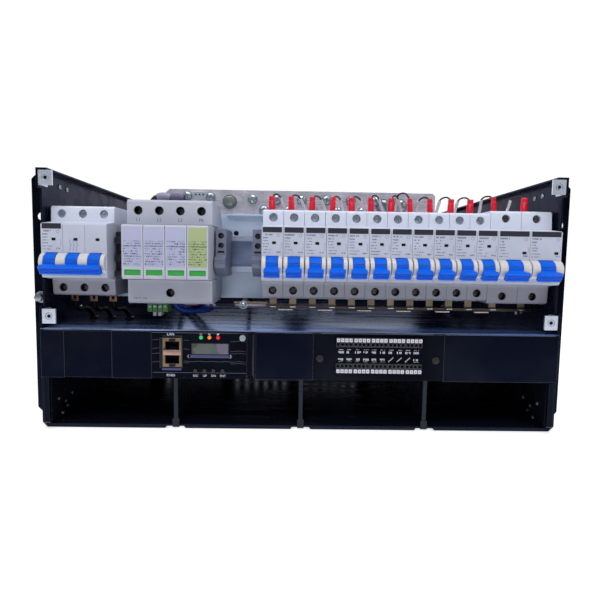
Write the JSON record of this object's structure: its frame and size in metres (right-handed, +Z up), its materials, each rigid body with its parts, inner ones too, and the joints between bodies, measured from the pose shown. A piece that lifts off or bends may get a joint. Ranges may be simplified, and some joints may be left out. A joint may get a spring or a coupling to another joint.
{
  "type": "rack dc power distribution subrack",
  "caption": "Five-unit rack power subrack: AC breaker, surge protector, row of DC breakers on a DIN rail, monitoring unit and rectifier bays.",
  "frame": {"origin": "middle of the tray's underside, which is the face it stands on", "axes": "+X to the right seen from the front, the front faces -Y, +Z up"},
  "size_m": [0.4826, 0.3443, 0.221],
  "materials": {
    "black_paint": "semi-gloss black powder coat",
    "zinc": "blue-passivated zinc plate",
    "nickel": "bright nickel plate",
    "tinned_copper": "brushed tinned copper",
    "breaker_shell": "light grey moulded shell",
    "toggle_blue": "blue moulded lever",
    "surge_shell": "pale blue-grey moulded shell",
    "clamp_grey": "grey moulded plastic",
    "unit_black": "fine matt black coat over a light module",
    "lcd_glass": "clear display window",
    "jack_shield": "tinned spring steel shield",
    "button_black": "black key cap",
    "header_black": "black terminal block on its board",
    "board_green": "green laminate and black connectors"
  },
  "bodies": {
    "rack": {"chassis_tray": "black_paint", "bay_frame": "black_paint", "fascia_shelf": "black_paint", "rack_ear_left": "black_paint", "rack_ear_right": "black_paint", "cover_bracket_upper_left": "nickel", "cover_bracket_lower_left": "nickel", "cover_bracket_upper_right": "nickel", "cover_bracket_lower_right": "nickel", "rectifier_backplane": "board_green", "mounting_plate": "zinc", "din_rail": "zinc", "end_clamp_left": "clamp_grey", "end_clamp_right": "clamp_grey", "positive_busbar": "tinned_copper", "negative_busbar": "tinned_copper", "ac_breaker_body": "breaker_shell", "spd_base": "surge_shell", "dc_breaker_01_body": "breaker_shell", "dc_breaker_02_body": "breaker_shell", "dc_breaker_03_body": "breaker_shell", "dc_breaker_04_body": "breaker_shell", "dc_breaker_05_body": "breaker_shell", "dc_breaker_06_body": "breaker_shell", "dc_breaker_07_body": "breaker_shell", "dc_breaker_08_body": "breaker_shell", "dc_breaker_09_body": "breaker_shell", "dc_breaker_10_body": "breaker_shell", "dc_breaker_11_body": "breaker_shell", "dc_breaker_12_body": "breaker_shell", "dc_breaker_13_body": "breaker_shell", "io_panel": "unit_black", "io_board": "header_black", "filler_plate": "unit_black"},
    "dc_lever_01": {"dc_breaker_01_handle": "toggle_blue"},
    "dc_lever_02": {"dc_breaker_02_handle": "toggle_blue"},
    "dc_lever_03": {"dc_breaker_03_handle": "toggle_blue"},
    "dc_lever_04": {"dc_breaker_04_handle": "toggle_blue"},
    "dc_lever_05": {"dc_breaker_05_handle": "toggle_blue"},
    "dc_lever_06": {"dc_breaker_06_handle": "toggle_blue"},
    "dc_lever_07": {"dc_breaker_07_handle": "toggle_blue"},
    "dc_lever_08": {"dc_breaker_08_handle": "toggle_blue"},
    "dc_lever_09": {"dc_breaker_09_handle": "toggle_blue"},
    "dc_lever_10": {"dc_breaker_10_handle": "toggle_blue"},
    "dc_lever_11": {"dc_breaker_11_handle": "toggle_blue"},
    "dc_lever_12": {"dc_breaker_12_handle": "toggle_blue"},
    "dc_lever_13": {"dc_breaker_13_handle": "toggle_blue"},
    "ac_lever": {"ac_breaker_handle": "toggle_blue"},
    "surge_module_1": {"spd_module_1": "surge_shell"},
    "surge_module_2": {"spd_module_2": "surge_shell"},
    "surge_module_3": {"spd_module_3": "surge_shell"},
    "surge_module_4": {"spd_module_4": "surge_shell"},
    "controller": {"controller_case": "unit_black", "controller_lcd": "lcd_glass", "controller_jack": "jack_shield"},
    "key_esc": {"button_esc": "button_black"},
    "key_up": {"button_up": "button_black"},
    "key_down": {"button_down": "button_black"},
    "key_enter": {"button_enter": "button_black"},
    "thumbscrew": {"controller_thumbscrew": "nickel"}
  },
  "joints": [
    {"name": "dc_breaker_01_switch", "type": "hinge", "parent": "rack", "child": "dc_lever_01", "pos_m": [-0.0262, -0.166, 0.1435], "axis": [-1, 0, 0], "range_deg": [0, 80]},
    {"name": "dc_breaker_02_switch", "type": "hinge", "parent": "rack", "child": "dc_lever_02", "pos_m": [-0.0082, -0.166, 0.1435], "axis": [-1, 0, 0], "range_deg": [0, 80]},
    {"name": "dc_breaker_03_switch", "type": "hinge", "parent": "rack", "child": "dc_lever_03", "pos_m": [0.0098, -0.166, 0.1435], "axis": [-1, 0, 0], "range_deg": [0, 80]},
    {"name": "dc_breaker_04_switch", "type": "hinge", "parent": "rack", "child": "dc_lever_04", "pos_m": [0.0278, -0.166, 0.1435], "axis": [-1, 0, 0], "range_deg": [0, 80]},
    {"name": "dc_breaker_05_switch", "type": "hinge", "parent": "rack", "child": "dc_lever_05", "pos_m": [0.0458, -0.166, 0.1435], "axis": [-1, 0, 0], "range_deg": [0, 80]},
    {"name": "dc_breaker_06_switch", "type": "hinge", "parent": "rack", "child": "dc_lever_06", "pos_m": [0.0638, -0.166, 0.1435], "axis": [-1, 0, 0], "range_deg": [0, 80]},
    {"name": "dc_breaker_07_switch", "type": "hinge", "parent": "rack", "child": "dc_lever_07", "pos_m": [0.0818, -0.166, 0.1435], "axis": [-1, 0, 0], "range_deg": [0, 80]},
    {"name": "dc_breaker_08_switch", "type": "hinge", "parent": "rack", "child": "dc_lever_08", "pos_m": [0.0998, -0.166, 0.1435], "axis": [-1, 0, 0], "range_deg": [0, 80]},
    {"name": "dc_breaker_09_switch", "type": "hinge", "parent": "rack", "child": "dc_lever_09", "pos_m": [0.1178, -0.166, 0.1435], "axis": [-1, 0, 0], "range_deg": [0, 80]},
    {"name": "dc_breaker_10_switch", "type": "hinge", "parent": "rack", "child": "dc_lever_10", "pos_m": [0.1358, -0.166, 0.1435], "axis": [-1, 0, 0], "range_deg": [0, 80]},
    {"name": "dc_breaker_11_switch", "type": "hinge", "parent": "rack", "child": "dc_lever_11", "pos_m": [0.1538, -0.166, 0.1435], "axis": [-1, 0, 0], "range_deg": [0, 80]},
    {"name": "dc_breaker_12_switch", "type": "hinge", "parent": "rack", "child": "dc_lever_12", "pos_m": [0.1763, -0.166, 0.1435], "axis": [-1, 0, 0], "range_deg": [0, 80]},
    {"name": "dc_breaker_13_switch", "type": "hinge", "parent": "rack", "child": "dc_lever_13", "pos_m": [0.2033, -0.166, 0.1435], "axis": [-1, 0, 0], "range_deg": [0, 80]},
    {"name": "ac_breaker_switch", "type": "hinge", "parent": "rack", "child": "ac_lever", "pos_m": [-0.1896, -0.166, 0.1435], "axis": [-1, 0, 0], "range_deg": [0, 80]},
    {"name": "surge_module_1_pull", "type": "slide", "parent": "rack", "child": "surge_module_1", "axis": [0, -1, 0], "range_m": [0, 0.046]},
    {"name": "surge_module_2_pull", "type": "slide", "parent": "rack", "child": "surge_module_2", "axis": [0, -1, 0], "range_m": [0, 0.046]},
    {"name": "surge_module_3_pull", "type": "slide", "parent": "rack", "child": "surge_module_3", "axis": [0, -1, 0], "range_m": [0, 0.046]},
    {"name": "surge_module_4_pull", "type": "slide", "parent": "rack", "child": "surge_module_4", "axis": [0, -1, 0], "range_m": [0, 0.046]},
    {"name": "controller_slide", "type": "slide", "parent": "rack", "child": "controller", "axis": [0, -1, 0], "range_m": [0, 0.15]},
    {"name": "key_esc_press", "type": "slide", "parent": "controller", "child": "key_esc", "axis": [0, 1, 0], "range_m": [0, 0.001], "stiffness_N_per_m": 300},
    {"name": "key_up_press", "type": "slide", "parent": "controller", "child": "key_up", "axis": [0, 1, 0], "range_m": [0, 0.001], "stiffness_N_per_m": 300},
    {"name": "key_down_press", "type": "slide", "parent": "controller", "child": "key_down", "axis": [0, 1, 0], "range_m": [0, 0.001], "stiffness_N_per_m": 300},
    {"name": "key_enter_press", "type": "slide", "parent": "controller", "child": "key_enter", "axis": [0, 1, 0], "range_m": [0, 0.001], "stiffness_N_per_m": 300},
    {"name": "thumbscrew_turn", "type": "hinge", "parent": "controller", "child": "thumbscrew", "pos_m": [-0.05, -0.165, 0.0828], "axis": [0, 1, 0], "continuous": true}
  ]
}
